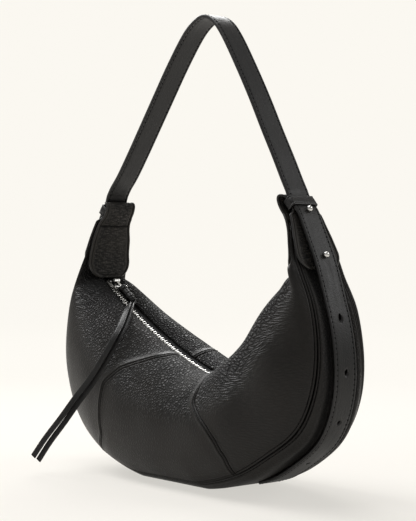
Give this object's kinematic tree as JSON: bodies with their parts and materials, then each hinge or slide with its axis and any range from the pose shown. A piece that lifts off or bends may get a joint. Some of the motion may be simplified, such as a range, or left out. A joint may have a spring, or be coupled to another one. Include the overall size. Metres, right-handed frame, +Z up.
{
  "type": "half moon bag",
  "caption": "Crescent leather shoulder bag with a curved top zip, slider and thonged pull, puffed panels, a gusset all round, stiffened horns and an adjustable strap held by keepers and studs",
  "frame": {"origin": "centre of the flat base, on the floor that the bag stands on", "axes": "+X towards the right horn, -Y towards the front panel that carries the thong, +Z up through the strap"},
  "size_m": [0.3678, 0.1643, 0.4255],
  "materials": {
    "leather": "black pebbled leather, semi matt",
    "strap_leather": "black leather with painted edges and edge stitching",
    "lining": "plain woven lining cloth",
    "board": "raw pressed fibre board",
    "zip_tape": "black woven zip tape",
    "hardware": "polished bright metal"
  },
  "bodies": {
    "bag": {"back_panel_centre": "leather", "back_panel_left": "leather", "back_panel_right": "leather", "base_board": "board", "front_panel_centre": "leather", "front_panel_left": "leather", "front_panel_right": "leather", "gusset_base": "leather", "gusset_left": "leather", "gusset_right": "leather", "horn_stay_left": "board", "horn_stay_right": "board", "inner_pocket": "lining", "keeper_left": "leather", "keeper_right": "leather", "lining_back": "lining", "lining_front": "lining", "lining_gusset": "lining", "strap_tail_left": "strap_leather", "strap_tail_right": "strap_leather", "stud_screws_left": "hardware", "stud_screws_right": "hardware", "studs_left": "hardware", "studs_right": "hardware", "tab_left": "leather", "tab_right": "leather", "zip_stop_left": "hardware", "zip_stop_right": "hardware", "zip_tape_back": "zip_tape", "zip_tape_front": "zip_tape", "zip_teeth_back": "hardware", "zip_teeth_front": "hardware"},
    "slider": {"zip_slider": "hardware", "thong_upper_ply": "leather", "thong_lower_ply": "leather"},
    "pull": {"zip_pull": "hardware", "pull_wrap": "leather"},
    "strap": {"strap_arch": "strap_leather", "strap_bend_left": "strap_leather", "strap_bend_right": "strap_leather"}
  },
  "joints": [
    {"name": "zip_travel", "type": "hinge", "parent": "bag", "child": "slider", "pos_m": [0.177, 0, 0.611], "axis": [0, -1, 0], "range_deg": [0, 16], "deforming": ["zip_teeth_front", "zip_teeth_back", "thong_upper_ply", "thong_lower_ply"]},
    {"name": "pull_flip", "type": "hinge", "parent": "slider", "child": "pull", "pos_m": [-0.13363, 0, 0.18033], "axis": [0, -1, 0], "range_deg": [0, 40], "deforming": ["thong_upper_ply", "thong_lower_ply"]},
    {"name": "strap_fold", "type": "hinge", "parent": "bag", "child": "strap", "pos_m": [0, 0, 0.2595], "axis": [1, 0, 0], "range_deg": [-120, 120], "deforming": ["strap_bend_left", "strap_bend_right"]}
  ]
}
